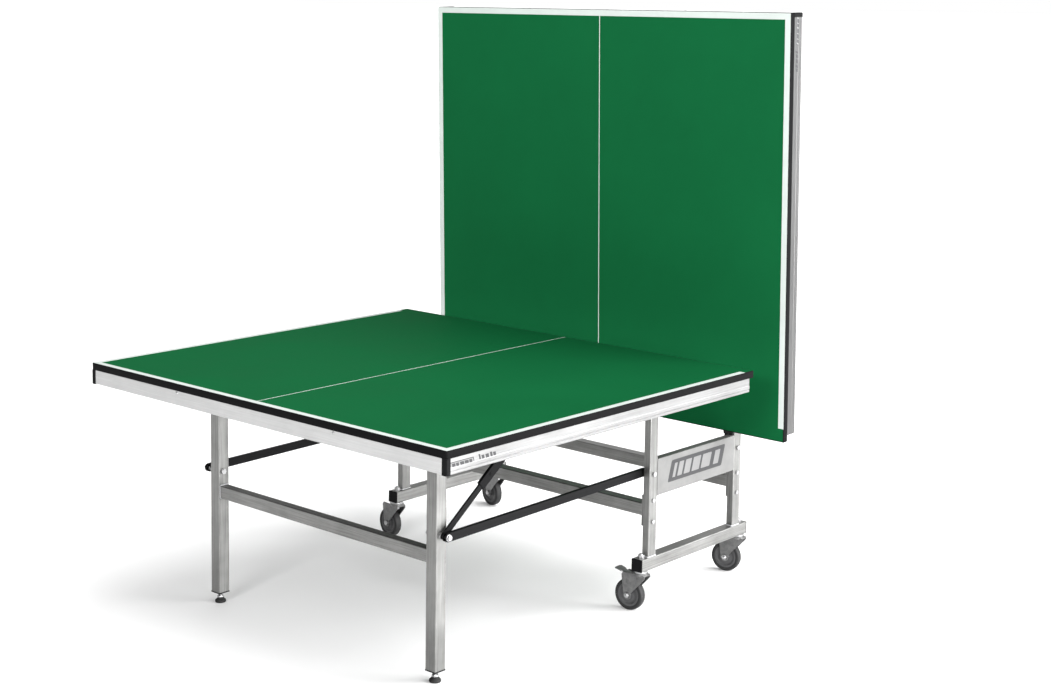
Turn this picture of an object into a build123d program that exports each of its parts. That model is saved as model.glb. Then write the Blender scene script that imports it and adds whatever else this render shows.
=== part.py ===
from build123d import *
from math import cos, degrees, atan2, hypot, radians, sin
import os

# Folding table-tennis table on a wheeled carriage.
# All sizes in millimetres.  X runs along the table, Y across it, Z up from the floor.
# Each half is drawn lying flat on the +X side of the net line.  Half A is then mirrored to the
# -X side, and half B is folded up about its pivot on the carriage.

# ---- playing tops ------------------------------------------------------------------------------
TABLE_LENGTH = 2740.0          # both halves lying flat
TABLE_WIDTH = 1525.0
PLAY_HEIGHT = 760.0            # playing surface above the floor
BOARD_THICK = 22.0
NET_GAP = 4.0                  # between the two halves at the net line
BAND_THICK = 3.0               # black edge band around the board

END_X = TABLE_LENGTH / 2
SIDE_Y = TABLE_WIDTH / 2
NET_X = NET_GAP / 2
UNDER_Z = PLAY_HEIGHT - BOARD_THICK

# ---- apron -------------------------------------------------------------------------------------
APRON_DROP = 43.0              # depth of the apron below the board
APRON_WALL = 2.5
APRON_SET_IN = 1.0             # apron face behind the band's face
SIDE_APRON_START = 22.0        # where the side apron ends, short of the net line
CAP_ALONG_SIDE = 14.0          # corner cap, measured along the side
CAP_ALONG_END = 18.0           # corner cap, measured along the end
APRON_Z = UNDER_Z - APRON_DROP

# ---- linkage: the four pivots of each half ------------------------------------------------------
FOLD_ANGLE = 91.4              # from flat to resting past upright on the stop pads
TOP_PIVOT = (220.0, 716.0)     # top on post
STRUT_PIVOT = (227.5, 435.5)   # strut on post
LEG_PIVOT = (1106.0, 708.0)    # leg on top
LEG_STRUT_PIVOT = (1111.0, 424.5)
LEG_RATIO = -0.99125           # leg turn, measured from the top, for each degree of fold
STRUT_RATIO = 1.0012
ARM_ANGLE = 37.0               # lock arm above the horizontal when the half is flat
LOCK_SIDE = {"a": -1, "b": 1}  # each half has one lock arm: -1 on the near leg, 1 on the far leg
PIN_GAP = 0.3                  # radial room round every pivot bolt
BOLT_FIT = 0.1                 # radial room round a bolt that doesn't turn
TOP_BOLT_RADIUS = 6.0
FLANGE_BOLT_RADIUS = 4.0
OPEN_PIVOT_GAP = 1.4           # radial room where strut and leg meet

# ---- legs --------------------------------------------------------------------------------------
LEG_SIZE = 40.0
LEG_WALL = 1.5
LEG_Y = 471.0
LEG_BOTTOM = 36.0
LEG_ABOVE_PIVOT = 13.0
LEG_BAR_Z = (340.0, 380.0)
LEG_BAR_DEEP = 30.0
FOOT_RADIUS = 17.0
FOOT_PAD_HIGH = 14.0
SCREW_RADIUS = 5.0
LEG_CAP_THICK = 3.0

# ---- struts and lock arms ----------------------------------------------------------------------
STRUT_DEEP = 25.0
STRUT_Y = (511.0, 523.0)
STRUT_WALL = 1.5
ARM_DEEP = 18.0
ARM_Y = (500.0, 506.0)
ARM_LENGTH = 494.0
SLEEVE_SPAN = (185.0, 315.0)   # along the lock arm from its pivot
SLEEVE_DEEP = 29.0
SLEEVE_Y = (497.5, 508.5)
SLEEVE_PIN_AT = 232.0

# ---- carriage ----------------------------------------------------------------------------------
POST_X = 228.0
POST_SIZE = (40.0, 25.0)
POST_Y = (531.0, 556.0)
POST_WALL = 1.5
POST_ABOVE_PIVOT = 11.0
RAIL_SIZE = 40.0
RAIL_Y = 541.0
RAIL_HALF = 283.0
RAIL_BOTTOM = 133.0
RAIL_CAP = 3.0
PANEL_Z = (363.0, 480.0)
PANEL_WALL = 2.0
CROSS_RAIL_Z = (302.0, 342.0)
FLANGE_THICK = 5.0
FLANGE_Z = (268.0, 368.0)
FLANGE_BOLTS_Z = (284.0, 351.0)
STOP_Z = (481.0, 527.0)
STOP_Y = (514.0, 551.0)
STOP_THICK = 4.3

# ---- casters -----------------------------------------------------------------------------------
STEM_X = 264.0
STEM_RADIUS = 6.0
WHEEL_RADIUS = 50.0
WHEEL_WIDE = 25.0
TRAIL = 38.0
FORK_WALL = 3.0
FORK_GAP = 2.5
AXLE_RADIUS = 4.0
CASTER_TURN = {"near_a": 5.0, "near_b": 12.0, "far_a": -7.0, "far_b": -12.0}
BRAKED = ("near_a",)

RAIL_TOP = RAIL_BOTTOM + RAIL_SIZE
BOTH_SIDES = (-1, 1)


# ---- plain shapes ------------------------------------------------------------------------------
def block(x, y, z):
    """A box from three (low, high) pairs."""
    size = [pair[1] - pair[0] for pair in (x, y, z)]
    middle = [(pair[0] + pair[1]) / 2 for pair in (x, y, z)]
    return Pos(*middle) * Box(*size)


def tube(x, y, z, wall, along):
    """A square tube with rounded corners and open ends, running along one axis."""
    outer = block(x, y, z)
    outer = fillet(outer.edges().filter_by(along), 2 * wall)
    spans = []
    for axis, pair in zip((Axis.X, Axis.Y, Axis.Z), (x, y, z)):
        grow = 1.0 if axis == along else -wall
        spans.append((pair[0] - grow, pair[1] + grow))
    inner = block(*spans)
    inner = fillet(inner.edges().filter_by(along), wall)
    return outer - inner


def rod_y(point, radius, y):
    """A round bar along Y through an (x, z) point."""
    return Pos(point[0], (y[0] + y[1]) / 2, point[1]) * Rot(90, 0, 0) * Cylinder(radius, y[1] - y[0])


def rod_z(x, y, radius, z):
    """A round bar along Z."""
    return Pos(x, y, (z[0] + z[1]) / 2) * Cylinder(radius, z[1] - z[0])


def hex_y(point, radius, y):
    """A hexagon nut or bolt head along Y, with its far corners rounded off."""
    face = Plane.XZ.offset(-y[0]) * Pos(point[0], point[1]) * RegularPolygon(radius, 6)
    body = extrude(face, y[0] - y[1])
    return body & rod_y(point, radius * 0.97, y)


def hex_z(x, y, radius, z):
    """A hexagon nut along Z, with its corners rounded off."""
    body = Pos(x, y, z[0]) * extrude(RegularPolygon(radius, 6), z[1] - z[0])
    return body & rod_z(x, y, radius * 0.97, z)


def plate_y(outline, y):
    """A flat plate standing in the XZ plane, from a closed list of (x, z) points."""
    face = Plane.XZ.offset(-y[0]) * make_face(Polyline(*outline, close=True))
    return extrude(face, -(y[1] - y[0]))


def eye_bar(length, deep, y, hole_start, hole_end):
    """A bar from the origin along -X with round ends and a hole at each end."""
    bar = block((-length, 0), y, (-deep / 2, deep / 2))
    for at in (0, -length):
        bar += rod_y((at, 0), deep / 2, y)
    bar -= rod_y((0, 0), hole_start, (y[0] - 1, y[1] + 1))
    if hole_end:
        bar -= rod_y((-length, 0), hole_end, (y[0] - 1, y[1] + 1))
    return bar


def near_and_far(shape):
    """The same piece on the near (-Y) and the far (+Y) side."""
    return [mirror(shape, about=Plane.XZ), shape]


# ---- one half of the top, lying flat on the +X side ---------------------------------------------
def board():
    core_x = (NET_X + BAND_THICK, END_X - BAND_THICK)
    core_y = (-SIDE_Y + BAND_THICK, SIDE_Y - BAND_THICK)
    return [block(core_x, core_y, (UNDER_Z, PLAY_HEIGHT))]


def edge_band():
    """Four strips around the board, flush with both of its faces."""
    z = (UNDER_Z, PLAY_HEIGHT)
    ends = [(NET_X, NET_X + BAND_THICK), (END_X - BAND_THICK, END_X)]
    strips = [block(x, (-SIDE_Y, SIDE_Y), z) for x in ends]
    side_x = (NET_X + BAND_THICK, END_X - BAND_THICK)
    strips += near_and_far(block(side_x, (SIDE_Y - BAND_THICK, SIDE_Y), z))
    return strips


def side_aprons():
    """Extruded rail with a flat upper band, a proud ridge, a groove and a turned-in lip."""
    face_y = SIDE_Y - APRON_SET_IN
    back_y = face_y - APRON_WALL
    low = APRON_Z
    outline = [
        (face_y - 26, UNDER_Z), (face_y, UNDER_Z),
        (face_y, low + 21), (SIDE_Y, low + 19),
        (SIDE_Y, low + 11), (face_y - 0.8, low + 9.5),
        (face_y + 0.6, low + 8), (face_y + 0.6, low + 2),
        (face_y - 1.2, low), (face_y - 13, low),
        (face_y - 13, low + APRON_WALL), (back_y, low + APRON_WALL),
        (back_y, UNDER_Z - APRON_WALL), (face_y - 26, UNDER_Z - APRON_WALL),
    ]
    profile = Plane.YZ * make_face(Polyline(*outline, close=True))
    rail = extrude(profile, END_X - CAP_ALONG_SIDE - SIDE_APRON_START)
    return near_and_far(Pos(SIDE_APRON_START, 0, 0) * rail)


def end_apron():
    """Flat rail across the outer end, between the two corner caps."""
    face_x = END_X - APRON_SET_IN
    back_x = face_x - APRON_WALL
    half = SIDE_Y - CAP_ALONG_END
    outline = [
        (face_x - 11, UNDER_Z), (face_x, UNDER_Z),
        (face_x, APRON_Z + 1.5), (face_x - 1.5, APRON_Z),
        (face_x - 11, APRON_Z), (face_x - 11, APRON_Z + APRON_WALL),
        (back_x, APRON_Z + APRON_WALL), (back_x, UNDER_Z - APRON_WALL),
        (face_x - 11, UNDER_Z - APRON_WALL),
    ]
    return [plate_y(outline, (-half, half))]


def corner_caps():
    """Moulded black caps that close the apron at the two outer corners."""
    outer = block((END_X - CAP_ALONG_SIDE, END_X), (SIDE_Y - CAP_ALONG_END, SIDE_Y), (APRON_Z - 1, UNDER_Z))
    outer = fillet(outer.edges().filter_by(Axis.Z).sort_by(Axis.X)[-1], 4)
    hollow = block((END_X - 20, END_X - 4), (SIDE_Y - 25, SIDE_Y - 4), (APRON_Z + 2, UNDER_Z - 2))
    return near_and_far(outer - hollow)


FRAME_TUBE = 30.0
FRAME_WALL = 1.5
END_TUBE_X = (1150.0, 1180.0)
END_TUBE_HALF = 733.0
INNER_TUBE_X = (300.0, 330.0)
INNER_TUBE_HALF = 480.0        # stops short of the folding links
SIDE_TUBE_Y = (620.0, 650.0)
SIDE_TUBE_START = 40.0
RIB_SPANS = ((60.0, 300.0), (330.0, 715.0), (805.0, 1150.0))   # leave room for the folded leg bar
BRACKET_THICK = 3.0
EAR_TAPER = 0.86               # how wide an ear is at its pivot, as a share of its radius
HINGE_BASE_X = (180.0, 300.0)
HINGE_EAR_X = (184.0, 272.0)
HINGE_EARS_Y = (526.0, 558.0)  # near face of each ear, on both sides of the post
HINGE_EAR_RADIUS = 14.0
LEG_BASE_X = (1076.0, 1150.0)
LEG_EAR_X = (1078.0, 1148.0)
LEG_EARS_Y = (446.0, 493.0)    # near face of each ear, on both sides of the leg
LEG_EAR_RADIUS = 16.0
STRIKE_X = (650.0, 760.0)
STRIKE_Y = (494.0, 510.0)
STRIKE_THICK = 4.0


def under_frame():
    """Square tubes screwed under the board, clear of the legs and struts as they fold."""
    z = (UNDER_Z - FRAME_TUBE, UNDER_Z)
    half = FRAME_TUBE / 2
    pieces = [tube(END_TUBE_X, (-END_TUBE_HALF, END_TUBE_HALF), z, FRAME_WALL, Axis.Y)]
    pieces.append(tube(INNER_TUBE_X, (-INNER_TUBE_HALF, INNER_TUBE_HALF), z, FRAME_WALL, Axis.Y))
    pieces += near_and_far(tube((SIDE_TUBE_START, END_TUBE_X[0]), SIDE_TUBE_Y, z, FRAME_WALL, Axis.X))
    for x in RIB_SPANS:
        pieces.append(tube(x, (-half, half), z, FRAME_WALL, Axis.X))
    return pieces


def ear(pivot, foot_x, radius, y, hole):
    """An upright plate that widens from a pivot hole up to the base plate."""
    top = UNDER_Z - BRACKET_THICK / 2
    side = radius * EAR_TAPER
    low = pivot[1] - radius / 2
    outline = [(foot_x[0], top), (foot_x[1], top), (pivot[0] + side, low), (pivot[0] - side, low)]
    shape = plate_y(outline, y) + rod_y(pivot, radius, y)
    return shape - rod_y(pivot, hole, (y[0] - 1, y[1] + 1))


def bracket(base_x, base_y, ear_x, ears_y, pivot, radius, hole):
    """A base plate under the board with two upright ears, on the near and the far side."""
    shape = block(base_x, base_y, (UNDER_Z - BRACKET_THICK, UNDER_Z))
    for y in ears_y:
        shape += ear(pivot, ear_x, radius, (y, y + BRACKET_THICK), hole)
    return near_and_far(shape)


def hinge_brackets():
    """Pressed brackets that hang the top on the carriage posts."""
    base_y = (HINGE_EARS_Y[0], SIDE_TUBE_Y[0])
    hole = TOP_BOLT_RADIUS + PIN_GAP
    return bracket(HINGE_BASE_X, base_y, HINGE_EAR_X, HINGE_EARS_Y, TOP_PIVOT, HINGE_EAR_RADIUS, hole)


def leg_brackets():
    """Pressed brackets that hold the leg tops, fixed against the end tube."""
    base_y = (LEG_EARS_Y[0], LEG_EARS_Y[1] + BRACKET_THICK)
    hole = SCREW_RADIUS + PIN_GAP
    return bracket(LEG_BASE_X, base_y, LEG_EAR_X, LEG_EARS_Y, LEG_PIVOT, LEG_EAR_RADIUS, hole)


def on_side(shape, side):
    """A shape drawn on the far side, kept there for 1 or mirrored to the near side for -1."""
    return [shape if side > 0 else mirror(shape, about=Plane.XZ)]


def strike_plate(side):
    """Thin plate under the board where the lock arm bears when the half is flat."""
    return on_side(block(STRIKE_X, STRIKE_Y, (UNDER_Z - STRIKE_THICK, UNDER_Z)), side)


# ---- the leg frame of one half -------------------------------------------------------------------
def legs():
    """Two square tubes, open at both ends, drilled for the pivot bolts."""
    x = (LEG_PIVOT[0] - LEG_SIZE / 2, LEG_PIVOT[0] + LEG_SIZE / 2)
    y = (LEG_Y - LEG_SIZE / 2, LEG_Y + LEG_SIZE / 2)
    leg = tube(x, y, (LEG_BOTTOM, LEG_PIVOT[1] + LEG_ABOVE_PIVOT), LEG_WALL, Axis.Z)
    for pivot in (LEG_PIVOT, LEG_STRUT_PIVOT):
        leg -= rod_y(pivot, SCREW_RADIUS + BOLT_FIT, (y[0] - 1, y[1] + 1))
    return near_and_far(leg)


def leg_bar():
    """Cross bar welded between the two legs."""
    x = (LEG_PIVOT[0] - LEG_BAR_DEEP / 2, LEG_PIVOT[0] + LEG_BAR_DEEP / 2)
    end = LEG_Y - LEG_SIZE / 2
    return [tube(x, (-end, end), LEG_BAR_Z, LEG_WALL, Axis.Y)]


def leg_caps():
    """Black plugs in the leg ends, with a flange and a threaded bore for the foot."""
    x = LEG_PIVOT[0]
    half = LEG_SIZE / 2 + 1
    flange_y = (LEG_Y - half, LEG_Y + half)
    flange = block((x - half, x + half), flange_y, (LEG_BOTTOM - LEG_CAP_THICK, LEG_BOTTOM))
    flange = fillet(flange.edges().filter_by(Axis.Z), 3)
    inside = LEG_SIZE / 2 - LEG_WALL - 0.2
    plug = block((x - inside, x + inside), (LEG_Y - inside, LEG_Y + inside), (LEG_BOTTOM, LEG_BOTTOM + 22))
    cap = flange + fillet(plug.edges().filter_by(Axis.Z), 2)
    return near_and_far(cap - rod_z(x, LEG_Y, SCREW_RADIUS + PIN_GAP, (0, 100)))


def leg_bolts():
    """At each leg: the bolt on the top's bracket, and the bolt that carries arm and strut."""
    inner = LEG_Y - LEG_SIZE / 2
    outer = LEG_Y + LEG_SIZE / 2
    top = rod_y(LEG_PIVOT, SCREW_RADIUS, (443, 498))
    top += hex_y(LEG_PIVOT, 9, (438, 445.6))
    top += hex_y(LEG_PIVOT, 9, (496.4, 503))
    low = rod_y(LEG_STRUT_PIVOT, SCREW_RADIUS, (inner - 6, STRUT_Y[1] + 2))
    low += hex_y(LEG_STRUT_PIVOT, 9, (inner - 8, inner))
    low += rod_y(LEG_STRUT_PIVOT, 9, (outer, ARM_Y[0] - PIN_GAP))
    low += rod_y(LEG_STRUT_PIVOT, 8, (ARM_Y[1] + PIN_GAP, STRUT_Y[0] - PIN_GAP))
    low += rod_y(LEG_STRUT_PIVOT, 10, (STRUT_Y[1] + PIN_GAP, STRUT_Y[1] + 2))
    low += hex_y(LEG_STRUT_PIVOT, 8.5, (STRUT_Y[1] + 2, STRUT_Y[1] + 7.5))
    return near_and_far(top) + near_and_far(low)


def foot(side):
    """Screw-in levelling foot: domed rubber base, neck nut and threaded stem."""
    x = LEG_PIVOT[0]
    y = side * LEG_Y
    rim = FOOT_PAD_HIGH * 0.45
    outline = [(0, 0), (FOOT_RADIUS - 1.5, 0), (FOOT_RADIUS, 1.5), (FOOT_RADIUS, rim),
               (FOOT_RADIUS * 0.72, FOOT_PAD_HIGH), (0, FOOT_PAD_HIGH)]
    pad = revolve(Plane.XZ * make_face(Polyline(*outline, close=True)), Axis.Z)
    pad = Pos(x, y, 0) * pad
    nut = hex_z(x, y, 9.5, (FOOT_PAD_HIGH, FOOT_PAD_HIGH + 8))
    return [pad + nut + rod_z(x, y, SCREW_RADIUS, (FOOT_PAD_HIGH, LEG_BOTTOM + 34))]


# ---- strut, lock arm and sleeve, drawn from a pivot at the origin along -X ------------------------
def place_link(shape, pivot, rise):
    """Turns a link up by rise degrees about its pivot and puts it there."""
    return Pos(pivot[0], 0, pivot[1]) * Rot(0, rise, 0) * shape


def struts():
    """Flat tubes between leg and post; the hole at the leg is the wide one."""
    run = (LEG_STRUT_PIVOT[0] - STRUT_PIVOT[0], STRUT_PIVOT[1] - LEG_STRUT_PIVOT[1])
    length = hypot(*run)
    bar = eye_bar(length, STRUT_DEEP, STRUT_Y, SCREW_RADIUS + OPEN_PIVOT_GAP, SCREW_RADIUS + PIN_GAP)
    inside = STRUT_DEEP / 2 - STRUT_WALL
    bar -= block((-length - STRUT_DEEP, STRUT_DEEP), (STRUT_Y[0] + STRUT_WALL, STRUT_Y[1] - STRUT_WALL),
                 (-inside, inside))
    rise = degrees(atan2(run[1], run[0]))
    return [side for side in near_and_far(place_link(bar, LEG_STRUT_PIVOT, rise))]


def lock_arm(side):
    """Flat bar that props the top from the lower pivot of one leg."""
    bar = eye_bar(ARM_LENGTH, ARM_DEEP, ARM_Y, SCREW_RADIUS + PIN_GAP, 0)
    return on_side(place_link(bar, LEG_STRUT_PIVOT, ARM_ANGLE), side)


def lock_sleeve(side):
    """Box sleeve that slides on the lock arm, with a rivet through its face."""
    x = (-SLEEVE_SPAN[1], -SLEEVE_SPAN[0])
    sleeve = block(x, SLEEVE_Y, (-SLEEVE_DEEP / 2, SLEEVE_DEEP / 2))
    sleeve = fillet(sleeve.edges().filter_by(Axis.X), 2)
    slot = ARM_DEEP / 2 + 0.4
    sleeve -= block((x[0] - 1, x[1] + 1), (ARM_Y[0] - 0.4, ARM_Y[1] + 0.4), (-slot, slot))
    sleeve += rod_y((-SLEEVE_PIN_AT, 0), 5, (SLEEVE_Y[1], SLEEVE_Y[1] + 1.5))
    return on_side(place_link(sleeve, LEG_STRUT_PIVOT, ARM_ANGLE), side)


# ---- carriage ----------------------------------------------------------------------------------
def posts():
    """Four uprights drilled for the top pivot, the strut pivot and the flange bolts."""
    x = (POST_X - POST_SIZE[0] / 2, POST_X + POST_SIZE[0] / 2)
    post = tube(x, POST_Y, (RAIL_TOP, TOP_PIVOT[1] + POST_ABOVE_PIVOT), POST_WALL, Axis.Z)
    through = (POST_Y[0] - 1, POST_Y[1] + 1)
    post -= rod_y(TOP_PIVOT, TOP_BOLT_RADIUS + BOLT_FIT, through)
    post -= rod_y(STRUT_PIVOT, SCREW_RADIUS + BOLT_FIT, through)
    for z in FLANGE_BOLTS_Z:
        post -= rod_y((POST_X, z), FLANGE_BOLT_RADIUS + BOLT_FIT, through)
    return near_and_far(post) + near_and_far(mirror(post, about=Plane.YZ))


def bottom_rails():
    """The two long rails that the posts stand on, drilled for the caster stems."""
    y = (RAIL_Y - RAIL_SIZE / 2, RAIL_Y + RAIL_SIZE / 2)
    rail = tube((-RAIL_HALF, RAIL_HALF), y, (RAIL_BOTTOM, RAIL_TOP), 2, Axis.X)
    for x in (-STEM_X, STEM_X):
        rail -= rod_z(x, RAIL_Y, STEM_RADIUS + BOLT_FIT, (RAIL_BOTTOM - 1, RAIL_TOP + 1))
    return near_and_far(rail)


def rail_caps():
    """Black plugs in the four rail ends, cut away round the caster stems."""
    half = RAIL_SIZE / 2
    middle = RAIL_BOTTOM + half
    face = block((RAIL_HALF, RAIL_HALF + RAIL_CAP), (RAIL_Y - half, RAIL_Y + half), (RAIL_BOTTOM, RAIL_TOP))
    face = fillet(face.edges().filter_by(Axis.X), 3)
    inside = half - 2.3
    plug_y = (RAIL_Y - inside, RAIL_Y + inside)
    plug = block((RAIL_HALF - 10, RAIL_HALF), plug_y, (middle - inside, middle + inside))
    cap = face + fillet(plug.edges().filter_by(Axis.X), 2.5)
    return near_and_far(cap) + near_and_far(mirror(cap, about=Plane.YZ))


def side_panels():
    """Channel-shaped sheet panels between the posts, open towards the middle."""
    half = POST_X - POST_SIZE[0] / 2
    x = (-half, half)
    outer = block(x, POST_Y, PANEL_Z)
    outer = fillet(outer.edges().filter_by(Axis.X).sort_by(Axis.Y)[-2:], 2)
    hollow = block((-half - 1, half + 1), (POST_Y[0] - 1, POST_Y[1] - PANEL_WALL),
                   (PANEL_Z[0] + PANEL_WALL, PANEL_Z[1] - PANEL_WALL))
    return near_and_far(outer - hollow)


def cross_rail():
    """Tube across the carriage, between its two end flanges."""
    x = (POST_X - POST_SIZE[0] / 2, POST_X + POST_SIZE[0] / 2)
    end = POST_Y[0] - FLANGE_THICK
    return [tube(x, (-end, end), CROSS_RAIL_Z, POST_WALL, Axis.Y)]


def rail_flanges():
    """Plates welded to the ends of the cross rails and bolted through the posts."""
    half = POST_SIZE[0] / 2 - 1
    end = POST_Y[0] - FLANGE_THICK
    flange = block((POST_X - half, POST_X + half), (end, POST_Y[0]), FLANGE_Z)
    flange = fillet(flange.edges().filter_by(Axis.Y), 5)
    for z in FLANGE_BOLTS_Z:
        flange -= rod_y((POST_X, z), FLANGE_BOLT_RADIUS + BOLT_FIT, (end - 1, POST_Y[0] + 1))
    return near_and_far(flange) + near_and_far(mirror(flange, about=Plane.YZ))


def frame_bolts():
    """Pivot bolts for the tops and struts, and the flange bolts, at one post."""
    outer = POST_Y[1]
    top = rod_y(TOP_PIVOT, TOP_BOLT_RADIUS, (523.5, 565)) + hex_y(TOP_PIVOT, 10, (561.4, 568))
    top += rod_y(TOP_PIVOT, 9, (523.5, 525.6))
    strut = rod_y(STRUT_PIVOT, SCREW_RADIUS, (STRUT_Y[0] - 6, outer + 3))
    strut += hex_y(STRUT_PIVOT, 8.5, (outer, outer + 5.5))
    strut += rod_y(STRUT_PIVOT, 8, (STRUT_Y[1] + PIN_GAP, POST_Y[0]))
    strut += hex_y(STRUT_PIVOT, 8.5, (STRUT_Y[0] - 7.3, STRUT_Y[0] - PIN_GAP))
    bolts = [top, strut]
    for z in FLANGE_BOLTS_Z:
        end = POST_Y[0] - FLANGE_THICK
        bolt = rod_y((POST_X, z), FLANGE_BOLT_RADIUS, (end - 5, outer + 2))
        bolt += rod_y((POST_X, z), 7, (outer, outer + 3.5))
        bolts.append(bolt + hex_y((POST_X, z), 7.5, (end - 6.5, end)))
    everywhere = []
    for bolt in bolts:
        everywhere += near_and_far(bolt) + near_and_far(mirror(bolt, about=Plane.YZ))
    return everywhere


def stop_pads():
    """Small brackets on the posts, faced with rubber, that a folded half leans on."""
    face = POST_X - POST_SIZE[0] / 2
    pad = block((face - STOP_THICK, face), STOP_Y, STOP_Z)
    pad = fillet(pad.edges().filter_by(Axis.X), 4)
    return near_and_far(pad) + near_and_far(mirror(pad, about=Plane.YZ))


# ---- casters, drawn with the stem on the Z axis, trailing towards +Y -------------------------------
FORK_IN = WHEEL_WIDE / 2 + FORK_GAP
FORK_OUT = FORK_IN + FORK_WALL
CROWN_Z = (118.0, 122.0)


def caster_stems():
    """Fixed stems with a top nut, a fixed race cup and the king nut inside the fork."""
    stem = rod_z(0, 0, STEM_RADIUS, (106, RAIL_TOP + 14))
    stem += hex_z(0, 0, 10.5, (RAIL_TOP, RAIL_TOP + 10))
    stem += rod_z(0, 0, 21, (127, RAIL_BOTTOM))
    stem += rod_z(0, 0, 9, (106, 113))
    stems = []
    for side in BOTH_SIDES:
        for end in BOTH_SIDES:
            stems.append(Pos(end * STEM_X, side * RAIL_Y, 0) * stem)
    return stems


def fork():
    """Pressed fork: crown with a race ring, and two broad cheeks that taper down to the axle."""
    crown = block((-FORK_OUT, FORK_OUT), (-24, 24), CROWN_Z)
    crown = fillet(crown.edges().filter_by(Axis.Z), 6)
    crown += rod_z(0, 0, 23, (CROWN_Z[0], 126.5))
    outline = [(-24, CROWN_Z[1]), (55, CROWN_Z[1]), (60, 114), (TRAIL + 14, WHEEL_RADIUS + 8),
               (TRAIL + 9, WHEEL_RADIUS - 8), (TRAIL - 9, WHEEL_RADIUS - 8), (TRAIL - 14, WHEEL_RADIUS + 8),
               (-24, CROWN_Z[0] - 6)]
    cheek_face = Plane.YZ * make_face(Polyline(*outline, close=True))
    cheek = extrude(cheek_face, FORK_WALL)
    cheek += Pos(FORK_WALL / 2, TRAIL, WHEEL_RADIUS) * Rot(0, 90, 0) * Cylinder(14, FORK_WALL)
    shape = crown
    for x in (FORK_IN, -FORK_OUT):
        shape += Pos(x, 0, 0) * cheek
    shape -= rod_z(0, 0, STEM_RADIUS + PIN_GAP, (100, 130))
    axle_hole = Pos(0, TRAIL, WHEEL_RADIUS) * Rot(0, 90, 0) * Cylinder(AXLE_RADIUS + BOLT_FIT, 60)
    return shape - axle_hole


def axle():
    """Axle bolt through the fork with a head and a nut."""
    turn = Pos(0, TRAIL, WHEEL_RADIUS) * Rot(0, 90, 0)
    bolt = turn * Cylinder(AXLE_RADIUS, 2 * FORK_OUT + 4)
    for x in BOTH_SIDES:
        bolt += Pos(x * (FORK_OUT + 2), TRAIL, WHEEL_RADIUS) * Rot(0, 90, 0) * Cylinder(7, 4)
    return bolt


def wheel():
    """Wheel with a crowned tyre, a dished hub and a bore for the axle."""
    half = WHEEL_WIDE / 2
    bore = AXLE_RADIUS + PIN_GAP
    outline = [(bore, -half), (13, -half), (15, -half + 4), (30, -half + 4), (32, -half), (44, -half),
               (48.5, -half + 4), (WHEEL_RADIUS, -4), (WHEEL_RADIUS, 4), (48.5, half - 4), (44, half),
               (32, half), (30, half - 4), (15, half - 4), (13, half), (bore, half)]
    solid = revolve(Plane.XZ * make_face(Polyline(*outline, close=True)), Axis.Z)
    return Pos(0, TRAIL, WHEEL_RADIUS) * Rot(0, 90, 0) * solid


PEDAL_PIVOT = (30.0, 112.5)
PEDAL_ARM = [(26, 109.5), (34, 108.5), (63, 118), (63, 123), (34, 116.5), (26, 115.5)]
PEDAL_TREAD = [(62, 117.5), (84, 124), (88, 127), (88, 130), (84, 131), (62, 124.5)]


def pedal():
    """Brake pedal behind the fork: hub between the cheeks, rising arm and a wider tread."""
    shape = Pos(0, PEDAL_PIVOT[0], PEDAL_PIVOT[1]) * Rot(0, 90, 0) * Cylinder(4.5, 2 * FORK_IN - 1)
    for outline, half in ((PEDAL_ARM, FORK_IN - 2.5), (PEDAL_TREAD, FORK_OUT - 1)):
        side = Plane.YZ.offset(-half) * make_face(Polyline(*outline, close=True))
        shape += extrude(side, 2 * half)
    return shape


def at_caster(shape, corner):
    """Turns a caster piece to its resting direction and moves it to its corner."""
    side = -1 if corner.startswith("near") else 1
    end = -1 if corner.endswith("_a") else 1
    return Pos(end * STEM_X, side * RAIL_Y, 0) * Rot(0, 0, CASTER_TURN[corner]) * shape


# ---- carrying one flat half into its resting place ---------------------------------------------
def turned(shape, pivot, angle):
    """Turns a shape about a Y axis line through an (x, z) point."""
    return shape.rotate(Axis((pivot[0], 0, pivot[1]), (0, 1, 0)), angle)


def fold_top(shape):
    return turned(shape, TOP_PIVOT, -FOLD_ANGLE)


def fold_legs(shape):
    return fold_top(turned(shape, LEG_PIVOT, -LEG_RATIO * FOLD_ANGLE))


def fold_struts(shape):
    return turned(shape, STRUT_PIVOT, -STRUT_RATIO * FOLD_ANGLE)


def arm_ratio():
    """Lock arm turn, measured from the legs, for each degree of fold."""
    run = (LEG_STRUT_PIVOT[0] - STRUT_PIVOT[0], STRUT_PIVOT[1] - LEG_STRUT_PIVOT[1])
    strut_rise = degrees(atan2(run[1], run[0]))
    return STRUT_RATIO + (ARM_ANGLE - strut_rise) / FOLD_ANGLE - (1 + LEG_RATIO)


def fold_arms(shape):
    return fold_legs(turned(shape, LEG_STRUT_PIVOT, -arm_ratio() * FOLD_ANGLE))


def place_half(name, shapes, fold):
    """Half A is the mirror image of the flat half; half B is the flat half folded up."""
    if name == "a":
        return [mirror(shape, about=Plane.YZ) for shape in shapes]
    return [fold(shape) for shape in shapes]


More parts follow.
